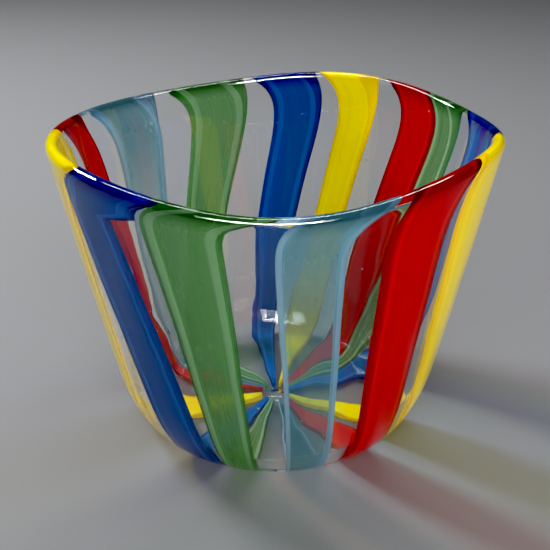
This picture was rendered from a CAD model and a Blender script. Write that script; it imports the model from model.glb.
"""Looks for the hand-blown bowl of fused glass canes, standing on a plain table."""

import math
import random

import bmesh
import bpy
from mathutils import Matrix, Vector


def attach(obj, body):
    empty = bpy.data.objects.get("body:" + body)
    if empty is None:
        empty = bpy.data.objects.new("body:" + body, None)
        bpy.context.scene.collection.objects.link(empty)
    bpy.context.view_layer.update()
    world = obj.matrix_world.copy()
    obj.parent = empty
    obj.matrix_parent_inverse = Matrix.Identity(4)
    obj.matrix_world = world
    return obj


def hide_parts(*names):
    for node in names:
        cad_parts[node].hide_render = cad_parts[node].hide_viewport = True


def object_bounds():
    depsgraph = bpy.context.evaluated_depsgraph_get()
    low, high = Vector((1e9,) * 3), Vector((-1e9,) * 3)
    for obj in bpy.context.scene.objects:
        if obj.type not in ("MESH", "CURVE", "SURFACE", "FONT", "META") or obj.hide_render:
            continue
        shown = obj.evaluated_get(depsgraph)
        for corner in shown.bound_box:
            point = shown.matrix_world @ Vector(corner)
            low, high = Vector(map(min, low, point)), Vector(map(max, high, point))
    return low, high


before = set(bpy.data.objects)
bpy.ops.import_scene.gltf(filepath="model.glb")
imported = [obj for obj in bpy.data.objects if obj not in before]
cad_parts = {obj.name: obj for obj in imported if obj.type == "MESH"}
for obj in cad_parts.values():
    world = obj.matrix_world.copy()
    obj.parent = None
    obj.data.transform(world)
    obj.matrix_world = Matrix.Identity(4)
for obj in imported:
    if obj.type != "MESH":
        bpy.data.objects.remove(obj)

CAD_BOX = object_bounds()

# ---- Sizes, in metres ----
RIM_RADIUS = (CAD_BOX[1][0] - CAD_BOX[0][0]) / 2 - 0.0001
CREST_HEIGHT = 0.1579
FOOT_RADIUS = 0.062
HEEL_HEIGHT = 0.037
WALL_LEAN = math.radians(11.4)
WALL_THICKNESS = 0.0062
BASE_THICKNESS = 0.007
BUTTON_RADIUS = 0.008
PONTIL_RADIUS = 0.7 * BUTTON_RADIUS
PONTIL_DEPTH = 0.001

# Waves of the rim, one to four times round: rise and the angle of a crest
RIM_WAVES = [(0.0016, -10), (0.0013, 22), (0.0029, 82), (0.0014, 55)]
# How far the hand-shaped wall swells in and out
SWELL = 0.0003
# How far the outside stands proud and sinks over one cane and the next
RIBS = 0.00012

# How the canes swing round towards the rim
LIP_TURN = 11
TURN_START = 0.6
TURN_BEND = 6
# These canes turn later and more sharply: how far and how late
SHARP_TURNS = {
    ("front", "green"): (14, 17),
    ("front", "light_blue"): (12.5, 9),
    ("left", "blue"): (14, 17),
}
# How much narrower a cane of this colour is by the middle of the floor
FLOOR_PINCH = {"yellow": 0.6}
# As they turn, the colours run out over part of the clear gap behind and ahead of them
RUN_BACK = 0.7
RUN_AHEAD = 0.25
# These canes run out over other shares of the gaps behind and ahead
LIP_RUNS = {
    ("left", "blue"): (0.7, 0.95),
    ("front", "green"): (0.02, 0.25),
    ("front", "light_blue"): (0.6, 0.2),
    ("front", "red"): (0.6, 0.25),
}
# This cane runs out ahead well below the lip: where it starts and ends, as shares of the height
EARLY_RUN = {("left", "blue"): (0.89, 0.925)}

# Each colour cane: place, colour, middle and width at the rim, middle and width at the foot, in degrees
CANES = [
    ("front", "green", -112, 20, -103, 12),
    ("front", "light_blue", -83, 16, -78, 15),
    ("front", "red", -56, 18, -52.5, 17),
    ("right", "yellow", -31.5, 23, -24.5, 20),
    ("right", "blue", -3, 21, 24, 17),
    ("right", "green", 22, 9, 41, 13),
    ("back", "red", 34, 15, 54.5, 14),
    ("back", "yellow", 59, 12, 76.5, 11),
    ("back", "blue", 79, 16, 98, 14),
    ("back", "green", 105, 20, 130, 14),
    ("left", "light_blue", 138.5, 20, 146.5, 11),
    ("left", "red", 165, 10, 159, 10),
    ("left", "yellow", 191.25, 34.5, 198, 28),
    ("left", "blue", 218.5, 16, 238.5, 17),
]
# Where a thread starts and ends, as shares of the cane's width from each edge
THREAD_PLACE = {"green": (0.06, 0.2), "light_blue": (0.0, 0.1), "blue": (0.09, 0.22)}

# How deep the canes and threads lie under the clear skin
CANE_DEPTH = 0.00035
THREAD_DEPTH = 0.0002

# Steps along each stretch of the wall's section
BASE_STEPS = 8
HEEL_STEPS = 18
WALL_STEPS = 44
LIP_STEPS = 10
ALONG_STEPS = BASE_STEPS + HEEL_STEPS + WALL_STEPS + LIP_STEPS
ROUND_STEPS = 240
PONTIL_STEPS = 6
# Steps across and through a cane and a thread
CANE_STEPS = (10, 4)
THREAD_STEPS = (3, 3)
# How far, in degrees, the edges of a cane and a thread are rounded off
CANE_ROUND_OFF = 0.25
THREAD_ROUND_OFF = 0.1


# ---- The wall's section ----
def lerp(a, b, share):
    return a + (b - a) * share


LEAN = Vector((math.sin(WALL_LEAN), math.cos(WALL_LEAN)))
HALF_WALL = WALL_THICKNESS / 2
WALL_TOP = Vector((
    RIM_RADIUS - HALF_WALL * (1 - LEAN.y),
    CREST_HEIGHT - HALF_WALL * (1 + LEAN.x),
))
HEEL_TOP = Vector((WALL_TOP.x - (WALL_TOP.y - HEEL_HEIGHT) * math.tan(WALL_LEAN), HEEL_HEIGHT))
FOOT_EDGE = Vector((FOOT_RADIUS, 0))
HEEL_HANDLE = 0.3 * (HEEL_TOP - FOOT_EDGE).length
HEEL_CURVE = [FOOT_EDGE, FOOT_EDGE + Vector((HEEL_HANDLE, 0)), HEEL_TOP - HEEL_HANDLE * LEAN, HEEL_TOP]


def bezier(t):
    a, b, c, d = HEEL_CURVE
    return (1 - t) ** 3 * a + 3 * t * (1 - t) ** 2 * b + 3 * t * t * (1 - t) * c + t**3 * d


def bezier_run(t):
    a, b, c, d = HEEL_CURVE
    return (1 - t) ** 2 * (b - a) + 2 * t * (1 - t) * (c - b) + t * t * (d - c)


def inward(run):
    """The direction into the glass from the outside of a surface that runs along run."""
    return Vector((-run.y, run.x)).normalized()


def wall_levels(depth):
    """Pairs of section points, outside and inside, from the button to the crest, at a depth."""
    pairs = []
    for i in range(BASE_STEPS):
        radius = lerp(BUTTON_RADIUS, FOOT_RADIUS, i / BASE_STEPS)
        pairs.append((Vector((radius, depth)), Vector((radius, BASE_THICKNESS - depth))))
    for i in range(HEEL_STEPS + 1):
        share = i / HEEL_STEPS
        into = inward(bezier_run(share))
        thickness = lerp(BASE_THICKNESS, WALL_THICKNESS, share)
        outside = bezier(share)
        pairs.append((outside + depth * into, outside + (thickness - depth) * into))
    into = inward(LEAN)
    for i in range(1, WALL_STEPS + 1):
        outside = HEEL_TOP.lerp(WALL_TOP, i / WALL_STEPS)
        pairs.append((outside + depth * into, outside + (WALL_THICKNESS - depth) * into))
    middle = WALL_TOP + HALF_WALL * into
    for i in range(1, LIP_STEPS + 1):
        turn = math.radians(90 * i / LIP_STEPS)
        rise = (HALF_WALL - depth) * math.sin(turn) * LEAN
        half = (HALF_WALL - depth) * math.cos(turn) * into
        pairs.append((middle + rise - half, middle + rise + half))
    return pairs


def is_outside(point):
    """1 for a section point on the outside of the straight wall, 0 for any other."""
    if not HEEL_TOP.y < point.y < WALL_TOP.y:
        return 0
    middle = HEEL_TOP.x + (point.y - HEEL_TOP.y) * math.tan(WALL_LEAN) - HALF_WALL
    return 1 if point.x > middle else 0


# ---- The shape round the bowl ----
def rim_wave(angle):
    return sum(
        rise * math.cos(math.radians(times * (angle - peak)))
        for times, (rise, peak) in enumerate(RIM_WAVES, 1)
    )


def swell(angle, share):
    """The wall's unevenness, none at the foot and the rim."""
    turn = math.radians(angle)
    waves = (
        0.5 * math.sin(3 * turn + 5 * share + 0.7)
        + 0.3 * math.sin(5 * turn - 7 * share + 2.1)
        + 0.2 * math.sin(9 * turn + 4 * share + 4.0)
    )
    return SWELL * waves * max(math.sin(math.pi * min(max(share, 0), 1)), 0)


def ribs(angle, share):
    """The shallow ribs that the canes leave on the outside."""
    turn = math.radians(angle)
    wave = math.sin(23 * turn + 4 * share) + 0.6 * math.sin(31 * turn - 6 * share + 1.3)
    return RIBS * wave * max(math.sin(math.pi * min(max(share, 0), 1)), 0) ** 0.5


def on_wall(point, angle, ribbed=0):
    """The place in space of a section point at an angle."""
    share = point.y / CREST_HEIGHT
    radius = point.x + swell(angle, share) + ribbed * ribs(angle, share)
    turn = math.radians(angle)
    return Vector((
        radius * math.cos(turn),
        radius * math.sin(turn),
        point.y + rim_wave(angle) * max(share, 0) ** 3,
    ))


def turned(cane, share):
    """How much of its turn a cane has made at a share of the height, and the whole turn."""
    turn, bend = SHARP_TURNS.get(cane[:2], (LIP_TURN, TURN_BEND))
    return (max(share - TURN_START, 0) / (1 - TURN_START)) ** bend, turn


def clear_gaps(cane):
    """The clear glass before and after a cane at the rim, in degrees."""
    k = CANES.index(cane)
    before = CANES[k - 1]
    after = CANES[(k + 1) % len(CANES)]
    gap_before = (cane[2] - cane[3] / 2 - before[2] - before[3] / 2) % 360
    gap_after = (after[2] - after[3] / 2 - cane[2] - cane[3] / 2) % 360
    return gap_before % 359, gap_after % 359


def edge_angle(cane, across, point, outwards):
    """The angle of a line along a cane at a share of its width, where the wall's outside is at point.

    The colours run together at the outside of the wall, where outwards is 1, and not at its inside.
    """
    share = point.y / CREST_HEIGHT
    middle = lerp(cane[4], cane[2], share)
    width = lerp(cane[5], cane[3], share)
    if point.x < FOOT_RADIUS:
        width *= lerp(FLOOR_PINCH.get(cane[1], 1), 1, (point.x / FOOT_RADIUS) ** 2)
    wander = 0.12 * math.sin(9 * share + cane[2]) + 0.06 * math.sin(21 * share + 2 * cane[2])
    wander *= math.sin(math.pi * min(share, 1))
    gap_before, gap_after = clear_gaps(cane)
    back, ahead = LIP_RUNS.get(cane[:2], (RUN_BACK, RUN_AHEAD))
    part, turn = turned(cane, share)
    run = part
    if cane[:2] in EARLY_RUN:
        low, high = EARLY_RUN[cane[:2]]
        run = min(max((share - low) / (high - low), 0), 1)
        run = run * run * (3 - 2 * run)
    spread = across * ahead * gap_after * run - (1 - across) * back * gap_before * part
    return middle + (across - 0.5) * width + wander + part * turn + outwards * spread


# ---- Making pieces ----
def new_piece(name, mesh_maker, material, smooth=True):
    mesh = bpy.data.meshes.new(name)
    made = bmesh.new()
    mesh_maker(made)
    made.to_mesh(mesh)
    made.free()
    mesh.materials.append(material)
    if smooth:
        mesh.shade_smooth()
    piece = bpy.data.objects.new(name, mesh)
    bpy.context.scene.collection.objects.link(piece)
    return piece


def unit_bar(made, across, along, through):
    """A closed bar from 0 to 1 each way, cut evenly: across is X, along is Y and through is Z."""
    bar = bmesh.ops.create_cube(made, size=1)["verts"]
    bmesh.ops.translate(made, verts=bar, vec=(0.5, 0.5, 0.5))
    for axis, cuts in ((1, along), (0, across), (2, through)):
        edges = [
            e for e in made.edges
            if abs(e.verts[0].co[axis] - e.verts[1].co[axis]) > 0.5
        ]
        bmesh.ops.subdivide_edges(made, edges=edges, cuts=cuts - 1, use_grid_fill=True)


def bend_onto_wall(made, cane, start, end, depth, round_off):
    """Lays a unit bar along a cane, between two shares of its width, and writes its UV map."""
    levels = wall_levels(depth)
    last = len(levels) - 1
    map_layer = made.loops.layers.uv.new("cane")
    places = {v: v.co.copy() for v in made.verts}
    for v, place in places.items():
        outside, inside = levels[round(place.y * last)]
        point = outside.lerp(inside, place.z)
        outwards = 0.5 + (0.5 - place.z) * min((inside - outside).length / WALL_THICKNESS, 1)
        pull = round_off * (2 * place.z - 1) ** 2 * (2 * place.x - 1)
        across = lerp(start, end, place.x)
        v.co = on_wall(point, edge_angle(cane, across, outside, outwards) - pull)
    for face in made.faces:
        for loop in face.loops:
            place = places[loop.vert]
            loop[map_layer].uv = (lerp(start, end, place.x), place.y)


def tidy_solid(made):
    bmesh.ops.remove_doubles(made, verts=made.verts, dist=1e-6)
    bmesh.ops.dissolve_degenerate(made, edges=made.edges, dist=1e-7)
    bmesh.ops.recalc_face_normals(made, faces=made.faces)


def make_cane(cane, material):
    def shape(made):
        across, through = CANE_STEPS
        unit_bar(made, across, ALONG_STEPS, through)
        bend_onto_wall(made, cane, 0, 1, CANE_DEPTH, CANE_ROUND_OFF)
        tidy_solid(made)

    name = f"{cane[0]}_{cane[1]}_cane"
    piece = new_piece(name + "_glass", shape, material)
    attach(piece, "root")
    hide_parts(name)


def make_threads(cane, material):
    near, far = THREAD_PLACE[cane[1]]
    across, through = THREAD_STEPS

    def shape(made):
        for start, end in ((near, far), (1 - far, 1 - near)):
            strip = bmesh.new()
            unit_bar(strip, across, ALONG_STEPS, through)
            bend_onto_wall(strip, cane, start, end, THREAD_DEPTH, THREAD_ROUND_OFF)
            tidy_solid(strip)
            one = bpy.data.meshes.new("strip")
            strip.to_mesh(one)
            strip.free()
            made.from_mesh(one)
            bpy.data.meshes.remove(one)

    name = f"{cane[0]}_{cane[1]}_threads"
    piece = new_piece(name + "_glass", shape, material)
    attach(piece, "root")
    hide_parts(name)


def make_clear_skin(material):
    """The clear glass that holds the canes: clear canes and base button, fused into one body."""
    def shape(made):
        pairs = wall_levels(0)
        hollow = [
            Vector((PONTIL_RADIUS * i / PONTIL_STEPS, PONTIL_DEPTH * (1 - (i / PONTIL_STEPS) ** 2)))
            for i in range(PONTIL_STEPS + 1)
        ]
        outline = hollow + [outside for outside, _ in pairs]
        outline += [inside for _, inside in reversed(pairs[:-1])]
        outline.append(Vector((BUTTON_RADIUS / 2, BASE_THICKNESS)))
        outline.append(Vector((0, BASE_THICKNESS)))
        verts = [made.verts.new((p.x, 0, p.y)) for p in outline]
        edges = [made.edges.new(pair) for pair in zip(verts, verts[1:])]
        bmesh.ops.spin(
            made, geom=verts + edges, cent=(0, 0, 0), axis=(0, 0, 1),
            angle=math.tau, steps=ROUND_STEPS, use_merge=True,
        )
        bmesh.ops.remove_doubles(made, verts=made.verts, dist=1e-6)
        for v in made.verts:
            point = Vector((math.hypot(v.co.x, v.co.y), v.co.z))
            if point.x > 1e-6:
                angle = math.degrees(math.atan2(v.co.y, v.co.x))
                v.co = on_wall(point, angle, ribbed=is_outside(point))
        bmesh.ops.recalc_face_normals(made, faces=made.faces)

    piece = new_piece("clear_glass_skin", shape, material)
    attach(piece, "root")
    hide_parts("base_button", *[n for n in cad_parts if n.startswith("clear_cane_")])


# ---- Materials ----
def linear(red, green, blue):
    """A shader colour from 0 to 255 screen values."""
    def one(value):
        share = value / 255
        return share / 12.92 if share <= 0.04045 else ((share + 0.055) / 1.055) ** 2.4
    return (one(red), one(green), one(blue), 1.0)


def new_material(name):
    material = bpy.data.materials.new(name)
    material.use_nodes = True
    material.node_tree.nodes.clear()
    output = material.node_tree.nodes.new("ShaderNodeOutputMaterial")
    return material, material.node_tree, output


def group_sockets(group, ins, outs):
    for name, kind, value in ins:
        socket = group.interface.new_socket(name=name, in_out="INPUT", socket_type=kind)
        socket.default_value = value
    for name, kind in outs:
        group.interface.new_socket(name=name, in_out="OUTPUT", socket_type=kind)
    return group.nodes.new("NodeGroupInput"), group.nodes.new("NodeGroupOutput")


def cane_bands_group():
    """Colours across a cane: dark borders, a lighter line inside each, and the core between."""
    group = bpy.data.node_groups.new("cane_bands", "ShaderNodeTree")
    into, out = group_sockets(
        group,
        [
            ("Core", "NodeSocketColor", (1, 1, 1, 1)),
            ("Line", "NodeSocketColor", (1, 1, 1, 1)),
            ("Border", "NodeSocketColor", (1, 1, 1, 1)),
            ("Line Place", "NodeSocketFloat", 0.15),
            ("Line Width", "NodeSocketFloat", 0.05),
            ("Uneven", "NodeSocketFloat", 0.3),
            ("Lip Depth", "NodeSocketFloat", 0.7),
        ],
        [
            ("Color", "NodeSocketColor"), ("Streak", "NodeSocketFloat"),
            ("Lip", "NodeSocketFloat"), ("High", "NodeSocketFloat"),
        ],
    )
    nodes, links = group.nodes, group.links

    def maths(operation, a, b=None, c=None, clamp=False):
        node = nodes.new("ShaderNodeMath")
        node.operation = operation
        node.use_clamp = clamp
        for socket, value in zip(node.inputs, (a, b, c)):
            if isinstance(value, (int, float)):
                socket.default_value = value
            elif value is not None:
                links.new(value, socket)
        return node.outputs[0]

    place = nodes.new("ShaderNodeUVMap")
    place.uv_map = "cane"
    split = nodes.new("ShaderNodeSeparateXYZ")
    links.new(place.outputs["UV"], split.inputs[0])
    # Streaks drawn out along the cane
    stretch = nodes.new("ShaderNodeMapping")
    stretch.inputs["Scale"].default_value = (7, 1.2, 1)
    links.new(place.outputs["UV"], stretch.inputs["Vector"])
    streaks = nodes.new("ShaderNodeTexNoise")
    streaks.inputs["Scale"].default_value = 1.0
    streaks.inputs["Detail"].default_value = 1.5
    links.new(stretch.outputs[0], streaks.inputs["Vector"])
    wobble = maths("MULTIPLY", maths("SUBTRACT", streaks.outputs["Fac"], 0.5), 0.03)
    # Share of the width from the nearer edge, 0 at an edge and 0.5 in the middle
    across = maths("ADD", split.outputs["X"], wobble)
    edge = maths("SUBTRACT", 0.5, maths("ABSOLUTE", maths("SUBTRACT", across, 0.5)))
    off_line = maths("ABSOLUTE", maths("SUBTRACT", edge, into.outputs["Line Place"]))
    line = maths("SUBTRACT", 1, maths("DIVIDE", off_line, into.outputs["Line Width"]), clamp=True)
    border = maths("GREATER_THAN", into.outputs["Line Place"], edge)

    def blend(share, a, b):
        node = nodes.new("ShaderNodeMix")
        node.data_type = "RGBA"
        for socket, value in zip((node.inputs[0], node.inputs[6], node.inputs[7]), (share, a, b)):
            links.new(value, socket)
        return node.outputs[2]

    def rises(source, low, high):
        """0 below one share of the cane's length and 1 above another."""
        node = nodes.new("ShaderNodeMapRange")
        node.interpolation_type = "SMOOTHSTEP"
        node.inputs["From Min"].default_value = low
        node.inputs["From Max"].default_value = high
        links.new(source, node.inputs["Value"])
        return node.outputs[0]

    colour = blend(border, into.outputs["Core"], into.outputs["Border"])
    colour = blend(line, colour, into.outputs["Line"])
    shade = nodes.new("ShaderNodeMapRange")
    shade.inputs["From Min"].default_value = 0.3
    shade.inputs["From Max"].default_value = 0.7
    links.new(streaks.outputs["Fac"], shade.inputs["Value"])
    lowest = maths("SUBTRACT", 1, into.outputs["Uneven"])
    links.new(lowest, shade.inputs["To Min"])
    shade.inputs["To Max"].default_value = 1.0
    dark = nodes.new("ShaderNodeVectorMath")
    dark.operation = "SCALE"
    links.new(colour, dark.inputs[0])
    links.new(shade.outputs[0], dark.inputs["Scale"])
    lip = rises(split.outputs["Y"], 0.845, 0.9)
    depth = maths("ADD", 1, maths("MULTIPLY", lip, into.outputs["Lip Depth"]))
    deeper = nodes.new("ShaderNodeGamma")
    links.new(dark.outputs[0], deeper.inputs["Color"])
    links.new(depth, deeper.inputs["Gamma"])
    links.new(deeper.outputs[0], out.inputs["Color"])
    links.new(streaks.outputs["Fac"], out.inputs["Streak"])
    links.new(lip, out.inputs["Lip"])
    links.new(rises(split.outputs["Y"], 0.6, 0.85), out.inputs["High"])
    return group


def blown_surface_group():
    """The slow ripple of a hand-blown surface, as a height for bump."""
    group = bpy.data.node_groups.new("blown_surface", "ShaderNodeTree")
    into, out = group_sockets(
        group, [("Scale", "NodeSocketFloat", 40.0)], [("Height", "NodeSocketFloat")]
    )
    nodes, links = group.nodes, group.links
    place = nodes.new("ShaderNodeTexCoord")
    ripple = nodes.new("ShaderNodeTexNoise")
    ripple.inputs["Detail"].default_value = 1.5
    ripple.inputs["Roughness"].default_value = 0.4
    links.new(place.outputs["Object"], ripple.inputs["Vector"])
    links.new(into.outputs["Scale"], ripple.inputs["Scale"])
    links.new(ripple.outputs["Fac"], out.inputs["Height"])
    return group


CANE_BANDS = cane_bands_group()
BLOWN_SURFACE = blown_surface_group()


def use_group(tree, group, **values):
    node = tree.nodes.new("ShaderNodeGroup")
    node.node_tree = group
    for name, value in values.items():
        node.inputs[name.replace("_", " ")].default_value = value
    return node


def bump(tree, group_node, strength, distance):
    node = tree.nodes.new("ShaderNodeBump")
    node.inputs["Strength"].default_value = strength
    node.inputs["Distance"].default_value = distance
    tree.links.new(group_node.outputs["Height"], node.inputs["Height"])
    return node.outputs["Normal"]


def let_lamps_through(tree, output, surface, tint):
    """Lamps shine through in a tint, so the bowl throws a coloured shadow."""
    through = tree.nodes.new("ShaderNodeBsdfTransparent")
    through.inputs["Color"].default_value = tint
    rays = tree.nodes.new("ShaderNodeLightPath")
    mix = tree.nodes.new("ShaderNodeMixShader")
    tree.links.new(rays.outputs["Is Shadow Ray"], mix.inputs[0])
    tree.links.new(surface, mix.inputs[1])
    tree.links.new(through.outputs[0], mix.inputs[2])
    tree.links.new(mix.outputs[0], output.inputs["Surface"])


def add_weighted(tree, mask, weight, base):
    """A cover plus a mask times its weight, kept from 0 to 1."""
    node = tree.nodes.new("ShaderNodeMath")
    node.operation = "MULTIPLY_ADD"
    node.use_clamp = True
    node.inputs[1].default_value = weight
    tree.links.new(mask, node.inputs[0])
    tree.links.new(base, node.inputs[2])
    return node.outputs[0]


def clear_glass():
    """Fire-polished clear glass that lets lamps through to the canes and the table."""
    material, tree, output = new_material("clear_glass")
    glass = tree.nodes.new("ShaderNodeBsdfPrincipled")
    glass.inputs["Base Color"].default_value = (0.97, 0.985, 0.98, 1)
    glass.inputs["Roughness"].default_value = 0.0
    glass.inputs["IOR"].default_value = 1.5
    glass.inputs["Transmission Weight"].default_value = 1
    ripple = use_group(tree, BLOWN_SURFACE, Scale=38.0)
    tree.links.new(bump(tree, ripple, 0.15, 0.002), glass.inputs["Normal"])
    let_lamps_through(tree, output, glass.outputs[0], (0.95, 0.96, 0.96, 1))
    return material


def cane_glass(
    name, core, line, border, opacity, deep, density, tint, line_place=0.15, line_width=0.05,
    uneven=0.1, lip_depth=1.2, lip_cover=0.3, high_cover=0.0,
):
    """Coloured cane glass: a milky body in bands, seen through in part, and darker where it is deep.

    The gathered glass of the lip hides more, by lip_cover, and so does the upper wall, by high_cover.
    """
    material, tree, output = new_material(name)
    bands = use_group(
        tree, CANE_BANDS, Core=core, Line=line, Border=border,
        Line_Place=line_place, Line_Width=line_width, Uneven=uneven, Lip_Depth=lip_depth,
    )
    body = tree.nodes.new("ShaderNodeBsdfPrincipled")
    body.inputs["Roughness"].default_value = 0.5
    body.inputs["Specular IOR Level"].default_value = 0.0
    tree.links.new(bands.outputs["Color"], body.inputs["Base Color"])
    glow = tree.nodes.new("ShaderNodeBsdfTranslucent")
    tree.links.new(bands.outputs["Color"], glow.inputs["Color"])
    milk = tree.nodes.new("ShaderNodeMixShader")
    milk.inputs[0].default_value = 0.4
    tree.links.new(body.outputs[0], milk.inputs[1])
    tree.links.new(glow.outputs[0], milk.inputs[2])
    through = tree.nodes.new("ShaderNodeBsdfTransparent")
    through.inputs["Color"].default_value = (1, 1, 1, 1)
    cloud = tree.nodes.new("ShaderNodeMapRange")
    cloud.inputs["From Min"].default_value = 0.3
    cloud.inputs["From Max"].default_value = 0.7
    cloud.inputs["To Min"].default_value = max(opacity - 0.03, 0)
    cloud.inputs["To Max"].default_value = min(opacity + 0.03, 1)
    tree.links.new(bands.outputs["Streak"], cloud.inputs["Value"])
    cover = add_weighted(tree, bands.outputs["Lip"], lip_cover, cloud.outputs[0])
    cover = add_weighted(tree, bands.outputs["High"], high_cover, cover)
    seen = tree.nodes.new("ShaderNodeMixShader")
    tree.links.new(cover, seen.inputs[0])
    tree.links.new(through.outputs[0], seen.inputs[1])
    tree.links.new(milk.outputs[0], seen.inputs[2])
    let_lamps_through(tree, output, seen.outputs[0], tint)
    absorb = tree.nodes.new("ShaderNodeVolumeAbsorption")
    absorb.inputs["Color"].default_value = deep
    absorb.inputs["Density"].default_value = density
    tree.links.new(absorb.outputs[0], output.inputs["Volume"])
    return material


def seed_glass():
    """The air in a seed bubble, seen from the glass round it."""
    material, tree, output = new_material("seed_bubble_air")
    air = tree.nodes.new("ShaderNodeBsdfPrincipled")
    air.inputs["Base Color"].default_value = (1, 1, 1, 1)
    air.inputs["Roughness"].default_value = 0.0
    air.inputs["IOR"].default_value = 0.6667
    air.inputs["Transmission Weight"].default_value = 1
    ripple = use_group(tree, BLOWN_SURFACE, Scale=300.0)
    tree.links.new(bump(tree, ripple, 0.1, 0.0004), air.inputs["Normal"])
    let_lamps_through(tree, output, air.outputs[0], (0.9, 0.9, 0.9, 1))
    return material


GLASSES = {
    "green": cane_glass(
        "green_glass", linear(128, 166, 120), linear(138, 174, 128), linear(106, 150, 96),
        0.57, linear(155, 215, 145), 200, (0.66, 0.8, 0.64, 1), 0.1, 0.04, 0.06, lip_depth=1.6,
    ),
    "light_blue": cane_glass(
        "light_blue_glass", linear(106, 144, 154), linear(120, 160, 168), linear(100, 140, 150),
        0.22, linear(165, 214, 218), 60, (0.75, 0.85, 0.88, 1), 0.1, 0.04, 0.08,
        lip_depth=0.8, lip_cover=0.2, high_cover=0.4,
    ),
    "red": cane_glass(
        "red_glass", linear(204, 2, 6), linear(224, 52, 14), linear(162, 20, 6),
        0.97, linear(255, 40, 30), 300, (0.7, 0.32, 0.32, 1), 0.13, 0.07, 0.12,
    ),
    "yellow": cane_glass(
        "yellow_glass", linear(244, 234, 0), linear(247, 233, 10), linear(236, 214, 0),
        0.95, linear(255, 250, 60), 160, (0.75, 0.7, 0.4, 1), 0.1, 0.05, 0.05, lip_depth=0.4,
    ),
    "blue": cane_glass(
        "blue_glass", linear(0, 106, 184), linear(10, 122, 196), linear(0, 84, 160),
        0.9, linear(70, 145, 225), 340, (0.32, 0.42, 0.72, 1), 0.17, 0.04, 0.12,
    ),
}
THREAD_GLASSES = {
    "green": cane_glass(
        "green_thread_glass", linear(180, 200, 178), linear(188, 208, 186), linear(166, 190, 164),
        0.66, linear(190, 235, 180), 60, (0.8, 0.9, 0.8, 1), 0.5, 0.2, 0.1,
    ),
    "light_blue": cane_glass(
        "light_blue_thread_glass", linear(174, 196, 206), linear(182, 204, 212), linear(166, 186, 202),
        0.65, linear(200, 230, 238), 60, (0.85, 0.9, 0.92, 1), 0.5, 0.2, 0.1,
    ),
    "blue": cane_glass(
        "blue_thread_glass", linear(38, 140, 208), linear(52, 150, 216), linear(28, 126, 200),
        0.85, linear(110, 170, 235), 120, (0.6, 0.7, 0.85, 1), 0.5, 0.2, 0.1,
    ),
}


# ---- Seed bubbles ----
SEED_COUNT = 110
SEED_RADII = (0.00012, 0.00018, 0.00028, 0.0004, 0.0005)
# How deep a small bubble lies, from the outside to the inside of the wall
SEED_DEPTHS = (0.03, 0.5, 0.5, 0.97)
# The few larger bubbles: angle, height and radius
BLISTERS = [
    (-119, 0.090, 0.0009), (-64, 0.088, 0.0008), (-33, 0.070, 0.0010), (-95, 0.052, 0.0007),
    (64, 0.118, 0.0007), (148, 0.094, 0.0008), (12, 0.061, 0.0009), (207, 0.128, 0.0007),
]


def make_seed_bubbles(material):
    """A scatter of small bubbles left in the middle of the wall, in colour and clear alike."""
    chance = random.Random(7)
    levels = wall_levels(0)

    def shape(made):
        for _ in range(SEED_COUNT):
            level = chance.randint(12, len(levels) - 14)
            outside, inside = levels[level]
            depth = lerp(0.07, 0.93, chance.choice(SEED_DEPTHS))
            middle = on_wall(outside.lerp(inside, depth), chance.uniform(0, 360))
            radius = chance.choice(SEED_RADII)
            seed = bmesh.ops.create_icosphere(made, subdivisions=2, radius=radius)["verts"]
            bmesh.ops.scale(made, verts=seed, vec=(1, 1, chance.uniform(1.0, 1.7)))
            bmesh.ops.translate(made, verts=seed, vec=middle)
        for angle, height, radius in BLISTERS:
            outside = HEEL_TOP.lerp(WALL_TOP, (height - HEEL_TOP.y) / (WALL_TOP.y - HEEL_TOP.y))
            seed = bmesh.ops.create_icosphere(made, subdivisions=3, radius=radius)["verts"]
            bmesh.ops.scale(made, verts=seed, vec=(1, 1, 1.25))
            middle = on_wall(outside + HALF_WALL * inward(LEAN), angle)
            bmesh.ops.translate(made, verts=seed, vec=middle)
        bmesh.ops.recalc_face_normals(made, faces=made.faces)

    piece = new_piece("seed_bubbles", shape, material)
    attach(piece, "root")


# ---- The object ----
make_clear_skin(clear_glass())
make_seed_bubbles(seed_glass())
for cane in CANES:
    make_cane(cane, GLASSES[cane[1]])
    if cane[1] in THREAD_GLASSES:
        make_threads(cane, THREAD_GLASSES[cane[1]])


# ---- Table, light and camera ----
# The table's top lies a hair under the foot
TABLE_DROP = 0.0003
TABLE_HALF = 6
CAMERA_AIM = Vector((0, 0, 0.0772))
CAMERA_AWAY = 0.4724
CAMERA_RISE = math.radians(25.99)
CAMERA_LENS = 58.5
BLACK_LEVEL = 0.026


def make_table():
    material, tree, output = new_material("pale_table")
    paint = tree.nodes.new("ShaderNodeBsdfPrincipled")
    paint.inputs["Base Color"].default_value = (0.155, 0.157, 0.162, 1)
    paint.inputs["Roughness"].default_value = 0.6
    paint.inputs["Specular IOR Level"].default_value = 0.1
    tree.links.new(paint.outputs[0], output.inputs["Surface"])

    def shape(made):
        bmesh.ops.create_grid(made, x_segments=2, y_segments=2, size=TABLE_HALF)
        bmesh.ops.translate(made, verts=made.verts, vec=(0, 0, -TABLE_DROP))

    new_piece("pale_table", shape, material, smooth=False)


def make_softbox(name, place, target, size, power, glint_only=False):
    """A lamp with a rectangular face. One that is glint_only shows in the gloss and lights nothing."""
    light = bpy.data.lights.new(name, "AREA")
    light.shape = "RECTANGLE"
    light.size, light.size_y = size
    light.energy = power
    lamp = bpy.data.objects.new(name, light)
    lamp.location = place
    lamp.rotation_euler = (Vector(target) - Vector(place)).to_track_quat("-Z", "Y").to_euler()
    lamp.visible_diffuse = not glint_only
    bpy.context.scene.collection.objects.link(lamp)


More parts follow.
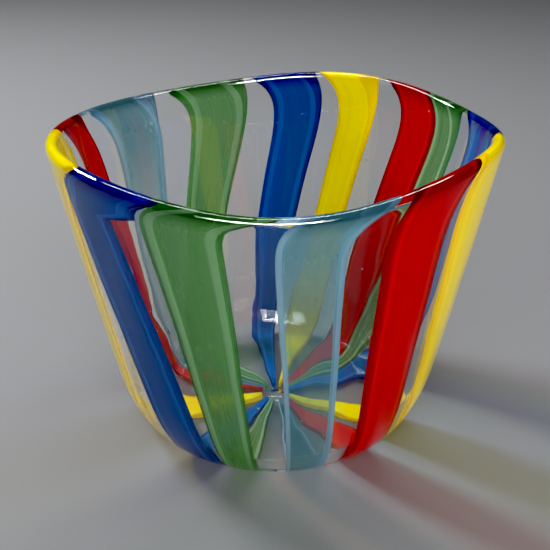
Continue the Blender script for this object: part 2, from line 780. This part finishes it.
def make_sky():
    """Soft studio surroundings: dim round the horizon, brighter overhead."""
    world = bpy.data.worlds.new("studio")
    world.use_nodes = True
    bpy.context.scene.world = world
    tree = world.node_tree
    place = tree.nodes.new("ShaderNodeTexCoord")
    split = tree.nodes.new("ShaderNodeSeparateXYZ")
    tree.links.new(place.outputs["Generated"], split.inputs[0])
    ramp = tree.nodes.new("ShaderNodeValToRGB")
    ramp.color_ramp.elements[0].position = 0.0
    ramp.color_ramp.elements[0].color = (0.05, 0.052, 0.06, 1)
    ramp.color_ramp.elements[1].position = 0.9
    ramp.color_ramp.elements[1].color = (0.25, 0.25, 0.25, 1)
    tree.links.new(split.outputs["Z"], ramp.inputs[0])
    tree.links.new(ramp.outputs[0], tree.nodes["Background"].inputs["Color"])
    tree.nodes["Background"].inputs["Strength"].default_value = 0.9


def make_camera():
    camera = bpy.data.cameras.new("camera")
    camera.sensor_width = 36
    camera.lens = CAMERA_LENS
    camera.clip_start = 0.01
    holder = bpy.data.objects.new("camera", camera)
    away = Vector((0, -math.cos(CAMERA_RISE), math.sin(CAMERA_RISE)))
    holder.location = CAMERA_AIM + CAMERA_AWAY * away
    holder.rotation_euler = (CAMERA_AIM - holder.location).to_track_quat("-Z", "Y").to_euler()
    bpy.context.scene.collection.objects.link(holder)
    bpy.context.scene.camera = holder


make_table()
make_softbox("window_left", (-1.0, 0.75, 1.15), (0, 0, 0.05), (0.35, 0.35), 33)
make_softbox("overhead_strip", (0.0, 0.5, 1.2), (0, 0, 0.1), (1.4, 0.18), 14)
make_softbox("front_window", (-0.1, -1.45, 1.05), (0, 0, 0.08), (1.6, 0.5), 31)
make_softbox("window_glint", (-0.1, -1.3, 1.1), (0, 0, 0.15), (1.1, 0.4), 90, glint_only=True)
make_sky()
make_camera()

scene = bpy.context.scene
scene.view_settings.view_transform = "Standard"
scene.view_settings.use_curve_mapping = True
scene.view_settings.curve_mapping.black_level = (BLACK_LEVEL,) * 3
scene.view_settings.curve_mapping.update()
scene.cycles.max_bounces = 24
scene.cycles.transmission_bounces = 20
scene.cycles.transparent_max_bounces = 48
scene.cycles.glossy_bounces = 8
scene.cycles.diffuse_bounces = 3
scene.cycles.caustics_reflective = False
scene.cycles.caustics_refractive = False
scene.cycles.use_denoising = True
